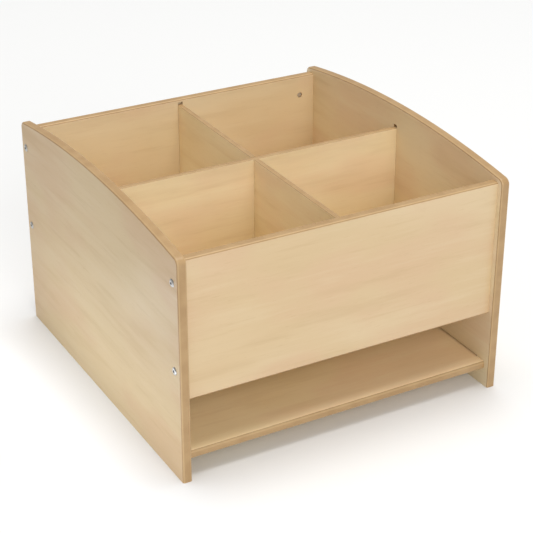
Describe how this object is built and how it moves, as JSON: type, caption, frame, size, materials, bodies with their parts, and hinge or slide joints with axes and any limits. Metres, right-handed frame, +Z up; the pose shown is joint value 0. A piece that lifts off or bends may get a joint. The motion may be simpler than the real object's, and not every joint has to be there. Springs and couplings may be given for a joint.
{
  "type": "book display stand",
  "caption": "Low floor-standing book browser box on arched sides, with open-topped compartments and an open base shelf.",
  "frame": {"origin": "on the floor, under the middle of the stand", "axes": "+Z up, +Y from the front to the back (the depth), +X to the right seen from the front"},
  "size_m": [0.604, 0.624, 0.414],
  "materials": {
    "side_board": "maple-effect board, satin lacquer, darker rounded edges",
    "panel_board": "maple-effect board, satin lacquer",
    "divider_board": "thin maple-effect board, satin lacquer",
    "floor_board": "maple-effect board, satin lacquer",
    "shelf_board": "maple-effect board, satin lacquer",
    "bolt_steel": "bright zinc plate",
    "nut_steel": "zinc plate"
  },
  "bodies": {
    "root": {"left_side_panel": "side_board", "right_side_panel": "side_board", "front_panel": "panel_board", "back_panel": "panel_board", "centre_divider": "divider_board", "cross_divider": "divider_board", "compartment_floor": "floor_board", "base_shelf": "shelf_board", "bolt_left_front_lower": "bolt_steel", "bolt_left_front_upper": "bolt_steel", "bolt_left_back_lower": "bolt_steel", "bolt_left_back_upper": "bolt_steel", "bolt_right_front_lower": "bolt_steel", "bolt_right_front_upper": "bolt_steel", "bolt_right_back_lower": "bolt_steel", "bolt_right_back_upper": "bolt_steel", "barrel_nut_left_front_lower": "nut_steel", "barrel_nut_left_front_upper": "nut_steel", "barrel_nut_left_back_lower": "nut_steel", "barrel_nut_left_back_upper": "nut_steel", "barrel_nut_right_front_lower": "nut_steel", "barrel_nut_right_front_upper": "nut_steel", "barrel_nut_right_back_lower": "nut_steel", "barrel_nut_right_back_upper": "nut_steel"}
  },
  "joints": []
}
